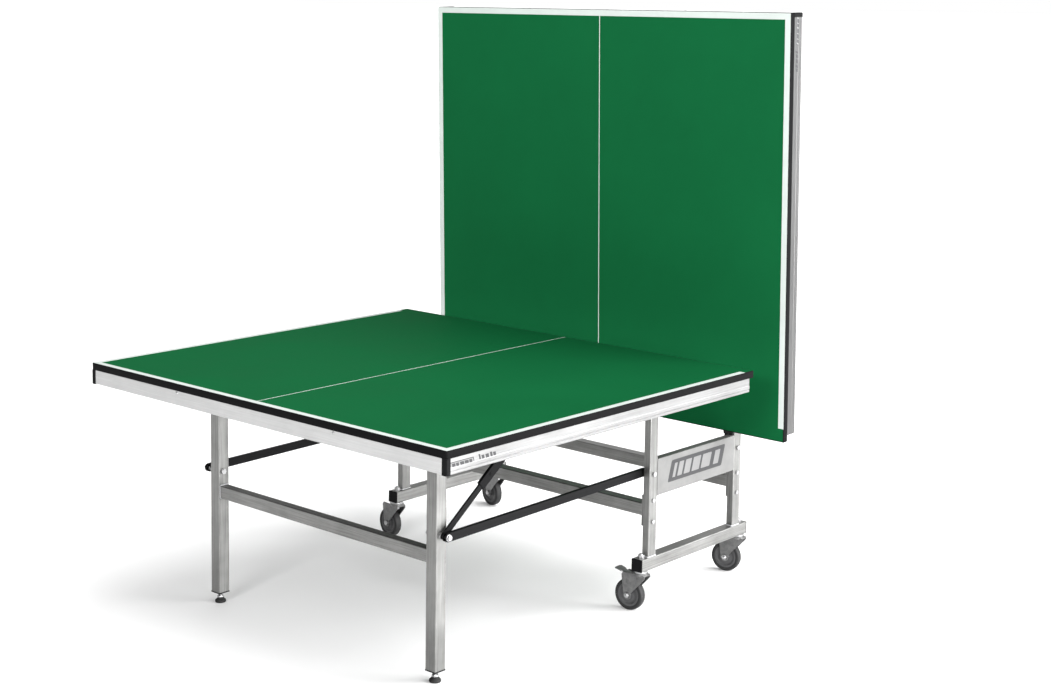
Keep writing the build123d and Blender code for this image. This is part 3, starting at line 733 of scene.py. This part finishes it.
# ---- one half's top ----
@dataclass
class PlayingTop:
    """A board with its painted lines, edge band, aprons, corner caps and under-frame."""

    shop: Workshop
    half: Half
    net_x: float = 2 * MM
    end_x: float = 1370 * MM
    side_y: float = 762.5 * MM
    surface: float = 760 * MM
    board_thick: float = 22 * MM
    band_thick: float = 3 * MM
    outer_corner: float = 7 * MM
    net_corner: float = 1 * MM
    line_wide: float = 20 * MM
    centre_line_wide: float = 3 * MM
    paint_thick: float = 0.25 * MM
    paint_inset: float = 1.2 * MM
    line_stop: float = 46 * MM
    apron_inset: float = 1 * MM
    frame_deep: float = 30 * MM
    side_tube_y: float = 635 * MM
    net_tube_x: float = 315 * MM
    end_tube_x: float = 1165 * MM
    side_screws: tuple[int, ...] = (90, 340, 620, 900, 1110)
    net_screws: tuple[int, ...] = (-420, -150, 150, 420)
    end_screws: tuple[int, ...] = (-690, -300, 300, 690)
    middle_screws: tuple[int, ...] = (110, 260, 420, 650, 860, 1080)
    apron_screw: Pair = (339 * MM, 732 * MM)
    badge_z: float = 719 * MM
    badge_dark: tuple = (
        (1313, 45, 8.5, 0.2), (1281, 5, 4.4, 0.6), (1296, 7, 4.4, 0.6), (1313, 7, 4.4, 0.6),
        (1330, 5, 4.4, 0.6), (1344, 6, 4.4, 0.6), (1246, 3, 11, 0.25), (1234, 5, 7, 0.25),
        (1218, 6, 7, 0.25), (1202, 4, 9, 0.25), (1190, 5, 7, 0.25))
    badge_light: tuple = ((1313, 42, 6.4, 0.4),)

    def build(self) -> None:
        """Builds every piece of the top and dresses its nodes."""
        self.lines()
        self.band()
        self.screws()
        self.badge()
        self.dress()

    def perimeter(self) -> np.ndarray:
        """The board's outline as a path, a quarter circle at each corner.

        Returns:
            (n, 3) points, going round once.
        """
        low, high, side = self.net_x, self.end_x, self.side_y
        signs = ((1, 1, self.outer_corner), (-1, 1, self.net_corner),
                 (-1, -1, self.net_corner), (1, -1, self.outer_corner))
        arcs = []
        for k, (sx, sy, radius) in enumerate(signs):
            t = np.linspace(k * np.pi / 2, (k + 1) * np.pi / 2, 7)
            centre_x = (high if sx > 0 else low) - sx * radius
            centre_y = sy * (side - radius)
            x, y = centre_x + radius * np.cos(t), centre_y + radius * np.sin(t)
            arcs.append(np.stack([x, y, 0 * t], axis=1))
        return np.concatenate(arcs)

    def band(self) -> None:
        """The edge band: a slim section with rounded outer edges, carried round the outline."""
        thick, high, soft = self.band_thick, self.board_thick, 1.2 * MM
        t = np.linspace(0, np.pi / 2, 5)
        upper = np.stack([-soft + soft * np.sin(t), -soft + soft * np.cos(t)], axis=1)
        lower = np.stack([-soft + soft * np.cos(t), -high + soft - soft * np.sin(t)], axis=1)
        inner = np.array([[-thick, -high], [-thick, 0.0]])
        loop = np.concatenate([upper, lower, inner])
        path = self.perimeter() + np.array([0.0, 0.0, self.surface])
        shell = mitred_sweep(loop, path, closed=True)
        self.piece("rounded_edge_band", [shell], PALETTE.band, "black_band",
                   (f"edge_band_{self.half.value}",))

    def lines(self) -> None:
        """White lines: one ribbon round the three outer edges, one down the middle."""
        ribbon = rounded_loop(self.line_wide / 2, self.paint_thick / 2, 0.1 * MM, 2)
        inset = self.paint_inset + self.line_wide / 2
        side, end = self.side_y - inset, self.end_x - inset
        start = self.net_x + self.band_thick
        short = self.line_stop
        height = self.surface + self.paint_thick / 2
        corners = ((short, -side), (end, -side), (end, side), (short, side))
        outer = np.array([(x, y, height) for x, y in corners])
        middle = rounded_loop(self.centre_line_wide / 2, self.paint_thick / 2, 0.1 * MM, 2)
        centre = np.array([[start, 0, height], [end - self.line_wide / 2, 0, height]])
        shells = [mitred_sweep(ribbon, outer, False), mitred_sweep(middle, centre, False)]
        self.piece("painted_lines", shells, PALETTE.lines, "green_board")

    def screws(self) -> None:
        """Pan-head screws up through the under-frame tubes, and two through the end apron."""
        low = self.surface - self.board_thick - self.frame_deep
        spots = [(x * MM, way * self.side_tube_y) for x in self.side_screws for way in (-1, 1)]
        spots += [(self.net_tube_x, y * MM) for y in self.net_screws]
        spots += [(self.end_tube_x, y * MM) for y in self.end_screws]
        spots += [(x * MM, 0.0) for x in self.middle_screws]
        stands = [turned_to((x, y, low), (0, 0, -1)) for x, y in spots]
        face, (y, z) = self.end_x - self.apron_inset, self.apron_screw
        stands += [turned_to((face, way * y, z), (1, 0, 0)) for way in (-1, 1)]
        head = pan_head(4.6 * MM, 2.6 * MM)
        self.piece("frame_screws", [head.moved(stand) for stand in stands], PALETTE.bolt, "zinc_bolt")

    def badge(self) -> None:
        """A plain framed badge and slanted strokes printed on both side aprons by the outer corner."""
        stands = [Matrix.Translation((0, way * (self.side_y - self.apron_inset), self.badge_z)) @ Z_TO_Y
                  for way in (-1, 1)]
        self.piece("apron_badge", printed(self.badge_dark, stands), PALETTE.decal, "apron_metal")
        self.piece("apron_badge_bars", printed(self.badge_light, stands), PALETTE.print_light, "apron_metal")

    def piece(self, name: str, shells: list[Shell], finish, slot: str, replaces: tuple = ()) -> None:
        """Makes one piece of flat-drawn surfaces, carried to where the top rests."""
        tag, moved = self.half.value, [shell.moved(top_place(self.half)) for shell in shells]
        self.shop.piece(f"{name}_{tag}", moved, finish, f"top_{tag}", slot, replaces)

    def dress(self) -> None:
        """Gives the CAD nodes of the top their finishes."""
        tag = self.half.value
        self.shop.dress({
            "top_board": BoardPaint(f"green_playing_coat_{tag}", self.half),
            # Side aprons: a lighter copy on the flat half and a darker copy on the upright half, as painted
            # light and shade; the end aprons get the brightest copy.
            "side_aprons": PALETTE.apron_x_painted_lit if self.half is Half.FLAT else PALETTE.apron_z_painted_shade,
            "end_apron": PALETTE.apron_y_painted_bright,
            "corner_caps": PALETTE.cap,
            "under_frame": PALETTE.black,
            "hinge_brackets": PALETTE.bracket,
            "leg_brackets": PALETTE.bracket,
            "strike_plate": PALETTE.bracket,
        }, f"_{tag}")


# ---- one half's legs ----
@dataclass
class LegFrame:
    """Two square legs with their cross bar, end caps, bolts and screw feet."""

    shop: Workshop
    half: Half
    leg_x: float = 1106 * MM
    leg_y: float = 471 * MM
    leg_half: float = 20 * MM
    bar_low: float = 340 * MM
    bar_high: float = 380 * MM
    bar_half: float = 15 * MM
    pad_profile: tuple = ((0, 0), (14.8, 0), (16.3, 0.5), (17, 2), (17, 5.88), (16.5, 7), (13.6, 10.08),
                          (10.54, 12.6), (9.52, 14), (0, 14))
    pad_high: float = 14 * MM
    nut_flats: float = 17 * MM
    nut_high: float = 8 * MM
    thread_pitch: float = 1.75 * MM
    thread_radius: float = 5 * MM
    thread_deep: float = 0.9 * MM
    stem_top: float = 34 * MM
    weld_radius: float = 1.9 * MM

    def build(self) -> None:
        """Builds the feet and welds and dresses the nodes."""
        for side, name in ((-1, "near"), (1, "far")):
            self.foot(side, name)
        self.welds()
        self.shop.dress({"legs": PALETTE.steel_z, "leg_bar": PALETTE.steel_y, "leg_caps": PALETTE.cap,
                         "leg_bolts": PALETTE.bolt}, f"_{self.half.value}")

    def foot(self, side: int, name: str) -> None:
        """One levelling foot: domed pad, lock nut and a threaded stem.

        The stem's radius at height z and angle t follows a triangle wave of z over the pitch less t
        over one turn, which winds the ridge up the stem.

        Args:
            side: -1 for the near leg, 1 for the far one.
            name: near or far.
        """
        h = self.pad_high
        place = leg_place(self.half) @ Matrix.Translation((self.leg_x, side * self.leg_y, 0))
        tag = f"{name}_{self.half.value}"
        body = f"foot_{tag}"
        pad = revolve(np.array(self.pad_profile) * MM, 40).moved(place)
        self.shop.piece(f"foot_pad_{tag}", [pad], PALETTE.rubber, body, "buffer_rubber", (body,))
        z = np.linspace(h, self.stem_top, 96)[:, None]
        t = np.linspace(0, 2 * np.pi, 24, endpoint=False)[None, :]
        wave = np.abs((z / self.thread_pitch - t / (2 * np.pi)) % 1.0 - 0.5) * 2
        radius = self.thread_radius - self.thread_deep * wave
        grid = np.stack([radius * np.cos(t), radius * np.sin(t), z + 0 * t], axis=-1)
        stem = capped(grid, (0, 0, h), (0, 0, self.stem_top))
        nut = hex_nut(self.nut_flats, h, h + self.nut_high, 1.2 * MM)
        shells = [stem.moved(place), nut.moved(place)]
        self.shop.piece(f"foot_screw_{tag}", shells, PALETTE.bolt, body, "zinc_bolt")

    def welds(self) -> None:
        """Weld beads where the cross bar meets the legs."""
        shells = []
        back, front = self.leg_x - self.bar_half, self.leg_x + self.bar_half
        ring = ((back, self.bar_low), (front, self.bar_low), (front, self.bar_high), (back, self.bar_high))
        for side in (-1, 1):
            y = side * (self.leg_y - self.leg_half)
            shells += weld_ring([(x, y, z) for x, z in ring], self.weld_radius)
        tag, place = self.half.value, leg_place(self.half)
        self.shop.piece(f"leg_welds_{tag}", [s.moved(place) for s in shells], PALETTE.weld,
                        f"leg_frame_{tag}", "bright_tube")


@dataclass
class FoldingLinks:
    """The struts of one half, and its lock arm with the sleeve on it."""

    shop: Workshop
    half: Half

    def build(self) -> None:
        """Dresses the links."""
        self.shop.dress({"struts": PALETTE.black, "lock_arm": PALETTE.black, "lock_sleeve": PALETTE.cap},
                        f"_{self.half.value}")


# ---- carriage ----
@dataclass
class Carriage:
    """Posts, rails, side panels and stops on which both halves fold."""

    shop: Workshop
    post_x: float = 228 * MM
    post_half: Pair = (20 * MM, 12.5 * MM)
    post_y: float = 543.5 * MM
    rail_top: float = 173 * MM
    weld_radius: float = 2 * MM
    print_y: float = 556 * MM
    print_z: float = 428 * MM
    print_dark: tuple = ((0, 145, 34, 0.25),)
    print_bars: tuple = ((-118, 7, 22, 0.55), (-88, 12, 22, 0.55), (-50, 16, 22, 0.55), (-4, 20, 22, 0.55),
                         (50, 24, 22, 0.55), (108, 14, 22, 0.55))

    def build(self) -> None:
        """Builds the welds and prints and dresses the nodes."""
        self.welds()
        self.panel_print()
        self.shop.dress({
            "posts": PALETTE.steel_z,
            "bottom_rails": PALETTE.steel_x,
            "cross_rail_a": PALETTE.steel_y,
            "cross_rail_b": PALETTE.steel_y,
            "rail_flanges": PALETTE.steel_z,
            "side_panels": PALETTE.panel,
            "rail_caps": PALETTE.cap,
            "stop_pads": PALETTE.rubber,
            "frame_bolts": PALETTE.bolt,
            "caster_stems": PALETTE.bolt,
        })

    def welds(self) -> None:
        """Weld beads round the foot of each post."""
        shells = []
        hx, hy = self.post_half
        for sx, sy in ((-1, -1), (-1, 1), (1, -1), (1, 1)):
            x, y = NET_LINE_X + sx * self.post_x, sy * self.post_y
            ring = ((x - hx, y - hy), (x + hx, y - hy), (x + hx, y + hy), (x - hx, y + hy))
            shells += weld_ring([(*spot, self.rail_top) for spot in ring], self.weld_radius)
        self.shop.piece("post_welds", shells, PALETTE.weld, "carriage", "bright_tube")

    def panel_print(self) -> None:
        """A dark slanted plate with light slanted bars, printed on the outside of each side panel."""
        shop = self.shop
        stands = [Matrix.Translation((NET_LINE_X, side * self.print_y, self.print_z)) @ Z_TO_Y
                  for side in (-1, 1)]
        dark, light = printed(self.print_dark, stands), printed(self.print_bars, stands)
        shop.piece("panel_print", dark, PALETTE.decal, "carriage", "panel_grey")
        shop.piece("panel_print_bars", light, PALETTE.print_light, "carriage", "panel_grey")


class Corner(Enum):
    """The four casters: name, side along Y, end along X, resting turn in degrees, and brake or none."""

    NEAR_FLAT = ("near_a", -1, -1, 5.0, True)
    NEAR_UPRIGHT = ("near_b", -1, 1, 12.0, False)
    FAR_FLAT = ("far_a", 1, -1, -7.0, False)
    FAR_UPRIGHT = ("far_b", 1, 1, -12.0, False)


@dataclass
class Caster:
    """A swivelling fork with its wheel, and on one corner a brake pedal."""

    shop: Workshop
    corner: Corner
    stem_x: float = 264 * MM
    stem_y: float = 541 * MM
    trail: float = 38 * MM
    wheel_radius: float = 50 * MM
    wheel_half: float = 12.5 * MM
    tread_inner: float = 36 * MM
    hub_profile: tuple = ((4.4, 12.5), (10.5, 12.5), (11.6, 11.9), (12.6, 7.9), (14, 6.9), (27, 6.9),
                          (29, 7.9), (30.5, 10.3), (32, 10.9), (38, 10.9))
    fork_half: float = 18.2 * MM
    axle_head: float = 7.5 * MM
    head_high: float = 5 * MM
    tread_power: float = 0.62
    side_power: float = 0.5

    def place(self) -> Matrix:
        """Carries a caster drawn about Z, trailing towards +Y, to its corner."""
        _, side, end, turn, _ = self.corner.value
        spot = Matrix.Translation((NET_LINE_X + end * self.stem_x, side * self.stem_y, 0))
        return spot @ Matrix.Rotation(math.radians(turn), 4, "Z")

    def build(self) -> None:
        """Builds the wheel and pedal and dresses the fork."""
        tag, braked = self.corner.value[0], self.corner.value[4]
        axle = self.place() @ Matrix.Translation((0, self.trail, self.wheel_radius)) @ Z_TO_X
        body, shop = f"wheel_{tag}", self.shop
        tyre, hub = self.tyre().moved(axle), self.hub().moved(axle)
        shop.piece(f"tyre_{tag}", [tyre], PALETTE.tyre, body, "wheel_rubber", (body,), 60)
        shop.piece(f"hub_{tag}", [hub], PALETTE.hub, body, "wheel_rubber")
        shop.dress({"fork": PALETTE.fork}, f"_{tag}")
        self.axle_ends(tag, axle)
        if braked:
            BrakePedal(shop).build(tag, self.place())

    def axle_ends(self, tag: str, axle: Matrix) -> None:
        """Hexagon heads with domed tips on both ends of the axle.

        Args:
            tag: the corner's name.
            axle: the axle's place, its Z along the bolt.
        """
        top = self.fork_half + self.head_high
        head = hex_nut(2 * self.axle_head, self.fork_half, top, 1 * MM)
        tip = pan_head(4.5 * MM, 1.6 * MM).moved(Matrix.Translation((0, 0, top - 0.1 * MM)))
        other = axle @ Matrix.Rotation(math.pi, 4, "X")
        shells = [shell.moved(place) for place in (axle, other) for shell in (head, tip)]
        self.shop.piece(f"axle_ends_{tag}", shells, PALETTE.bolt, f"caster_{tag}", "zinc_bolt")

    def tyre(self) -> Shell:
        """The tread ring: a squarish oval section, each half axis times a cosine or sine raised to a
        power under one, spun about the axle."""
        t = np.linspace(0, 2 * np.pi, 40, endpoint=False)
        c, s = np.cos(t), np.sin(t)
        middle = (self.wheel_radius + self.tread_inner) / 2
        deep = (self.wheel_radius - self.tread_inner) / 2
        radius = middle + deep * np.sign(s) * np.abs(s) ** self.tread_power
        across = self.wheel_half * np.sign(c) * np.abs(c) ** self.side_power
        return revolve(np.stack([radius, across], axis=1), 72, closed=True)

    def hub(self) -> Shell:
        """The wheel's core: a dished web between a boss and a rim, spun about the axle."""
        half = np.array(self.hub_profile) * MM
        other = half[::-1] * np.array([1.0, -1.0])
        return revolve(np.concatenate([half, other]), 56, closed=True)


@dataclass
class BrakePedal:
    """A pressed brake pedal, drawn trailing towards +Y from a pivot pin; all its sizes are in millimetres."""

    shop: Workshop
    pivot: Pair = (30, 112.5)
    pin_profile: tuple = ((0, -14.5), (3.9, -14.5), (4.5, -13.9), (4.5, 13.9), (3.9, 14.5), (0, 14.5))
    back: float = 25.5
    end: float = 88.0
    neck: float = 60
    neck_run: float = 5
    tip_run: float = 6.2
    arm_half: float = 12.3
    tread_more: float = 3.9
    thick_half: float = 2.5
    rib_pitch: float = 3.6
    rib_span: Pair = (65, 83)
    slope: float = 0.29

    def build(self, tag: str, place: Matrix) -> None:
        """Rounded sections that rise along the arm and widen into a ribbed tread, and the pivot pin.

        The half width follows a smooth step from the arm to the tread and an ellipse at its tip; the
        middle rises in a straight line that levels off, and the upper side carries small sine ribs.

        Args:
            tag: the corner's name.
            place: the caster's place.
        """
        y = np.linspace(self.back, self.end, 110)
        step = np.clip((y - self.neck) / self.neck_run, 0, 1)
        step = step * step * (3 - 2 * step)
        past = np.clip(y - (self.end - 6), 0, None) / self.tip_run
        tip = np.sqrt(np.clip(1 - past ** 2, 0.03, 1))
        before = np.clip(self.pivot[0] - y, 0, None) / 5
        start = np.sqrt(np.clip(1 - before ** 2, 0.05, 1))
        wide = (self.arm_half + self.tread_more * step) * (0.72 + 0.28 * tip) * (0.8 + 0.2 * start)
        first, last = self.rib_span
        fade = np.clip((y - first) / 2, 0, 1) * np.clip((last - y) / 2, 0, 1)
        ribs = 0.3 * (1 + np.sin(2 * np.pi * y / self.rib_pitch)) * fade
        high = (self.thick_half + 0.6 * step + ribs / 2) * tip ** 0.6 * start
        middle = self.pivot[1] + 0.3 + self.slope * np.clip(y - 31, 0, 50) + ribs / 2
        centres = np.stack([0 * y, y, middle], axis=1) * MM
        arm = loft(centres, wide * MM, high * MM, 0.6)
        stand = place @ Matrix.Translation((0, self.pivot[0] * MM, self.pivot[1] * MM)) @ Z_TO_X
        pin = revolve(np.array(self.pin_profile) * MM, 24).moved(stand)
        body = f"pedal_{tag}"
        self.shop.piece(f"ribbed_{body}", [arm.moved(place), pin], PALETTE.pedal, body,
                        "black_plastic", (body,), 60)


# ---- studio ----
@dataclass(frozen=True)
class SoftBox:
    """A rectangular soft light: where it stands and what it faces, in metres, its size, power and beam."""

    name: str
    spot: Triple
    target: Triple
    size: Pair
    watts: float
    beam: float = 180.0

    def hang(self) -> None:
        """Adds the light, unseen by the camera."""
        data = bpy.data.lights.new(self.name, "AREA")
        data.shape = "RECTANGLE"
        data.size, data.size_y = self.size
        data.energy = self.watts
        data.spread = math.radians(self.beam)
        made = added(self.name, data)
        made.location = self.spot
        facing = Vector(self.target) - Vector(self.spot)
        made.rotation_euler = facing.to_track_quat("-Z", "Y").to_euler()
        made.visible_camera = False


@dataclass
class Studio:
    """Pale floor, soft light and the camera."""

    azimuth: float = -48.664
    elevation: float = 6.481
    roll: float = 0.827
    eye: Triple = (-4.457, -3.729, 1.885)
    focal: float = 1739.712
    frame_wide: float = 1051.0
    frame_high: float = 700.0
    principal_y: float = 200.0
    floor_glow: float = 0.04
    floor_half: float = 600.0
    bright_side: Triple = (0.48, -0.58, 0.66)
    surround_grade: tuple[float, float, float, float] = (-0.75, 0.8, 0.07, 0.95)
    overhead_strength: float = 2.5
    overhead_width: float = 55.0
    overhead_way: Triple = (-0.25, 0.42, -1.0)
    boxes: tuple[SoftBox, ...] = (
        SoftBox("key", (3.9, -5.4, 2.6), (0.0, -0.2, 0.5), (3.2, 2.6), 390.0),
        SoftBox("near_strip", (-0.2, -6.0, 0.9), (-0.2, 0.0, 0.5), (6.0, 1.2), 600.0),
        SoftBox("upright_fill", (-5.2, -1.6, 2.9), (0.5, 0.0, 1.45), (2.0, 1.2), 23.0, 50.0),
    )

    def camera(self) -> None:
        """Sets the camera from its heading, height, roll, and the picture's centre of view."""
        a, e, r = (math.radians(v) for v in (self.azimuth, self.elevation, self.roll))
        ahead = -Vector((math.sin(a) * math.cos(e), -math.cos(a) * math.cos(e), math.sin(e)))
        right = ahead.cross(Vector((0, 0, 1))).normalized()
        up = right.cross(ahead)
        across = math.cos(r) * right + math.sin(r) * up
        upward = -math.sin(r) * right + math.cos(r) * up
        data = bpy.data.cameras.new("camera")
        data.sensor_width = 36.0
        data.lens = self.focal / self.frame_wide * data.sensor_width
        data.shift_y = (self.principal_y - self.frame_high / 2) / self.frame_wide
        data.clip_end = 2000.0
        made = added("camera", data)
        turn = Matrix((across, upward, -ahead)).transposed().to_4x4()
        made.matrix_world = Matrix.Translation(Vector(self.eye) + Vector((NET_LINE_X, 0, 0))) @ turn
        bpy.context.scene.camera = made

    def floor(self) -> None:
        """A wide pale floor with a faint satin sheen and a faint glow of its own."""
        tree = MaterialTree("pale_floor")
        tone = tree.noise(tree.mapped(), scale=0.7, detail=2.0, rough=0.5)
        tree.surface(Base_Color=tree.blend(tone, grey(0.90), grey(0.93)), Roughness=0.6,
                     Specular_IOR_Level=0.2, Emission_Color=grey(1.0), Emission_Strength=self.floor_glow)
        side = self.floor_half
        corners = [(-side, -side, 0), (side, -side, 0), (side, side, 0), (-side, side, 0)]
        mesh = bpy.data.meshes.new("floor")
        mesh.from_pydata(corners, [], [(0, 1, 2, 3)])
        mesh.materials.append(tree.material)
        made = added("floor", mesh)

    def light(self) -> None:
        """A surround that brightens towards one side, three soft boxes and a wide top light."""
        world = bpy.data.worlds.new("surround")
        tree = Tree(world)
        way = tree.add("TexCoord", "Generated", {})
        facing = tree.add("VectorMath", "Value", {0: way, 1: self.bright_side}, operation="DOT_PRODUCT")
        low, high, to_low, to_high = self.surround_grade
        steps = {"Value": facing, "From Min": low, "From Max": high, "To Min": to_low, "To Max": to_high}
        grade = tree.add("MapRange", "Result", steps, interpolation_type="SMOOTHSTEP")
        lit = tree.add("Background", "Background", {"Color": grey(1.0), "Strength": grade})
        backdrop = tree.add("Background", "Background", {"Color": grey(1.0)})
        ray = tree.add("LightPath", "Is Camera Ray", {})
        seen = tree.add("MixShader", "Shader", {"Fac": ray, 1: lit, 2: backdrop})
        tree.give(tree.nodes["World Output"].inputs["Surface"], seen)
        bpy.context.scene.world = world
        for box in self.boxes:
            box.hang()
        overhead = bpy.data.lights.new("overhead", "SUN")
        overhead.energy = self.overhead_strength
        overhead.angle = math.radians(self.overhead_width)
        way = Vector(self.overhead_way)
        added("overhead", overhead).rotation_euler = way.to_track_quat("-Z", "Y").to_euler()

    def build(self) -> None:
        """Sets up the whole studio."""
        self.camera()
        self.floor()
        self.light()
        bpy.context.scene.view_settings.view_transform = "Standard"


def main() -> None:
    """Builds the studio and the table's sub-assemblies in order."""
    logging.basicConfig(level=logging.INFO, format="%(name)s: %(message)s")
    Studio().build()
    shop = Workshop()
    for half in Half:
        PlayingTop(shop, half).build()
        LegFrame(shop, half).build()
        FoldingLinks(shop, half).build()
    Carriage(shop).build()
    for corner in Corner:
        Caster(shop, corner).build()


if __name__ == "__main__":
    main()
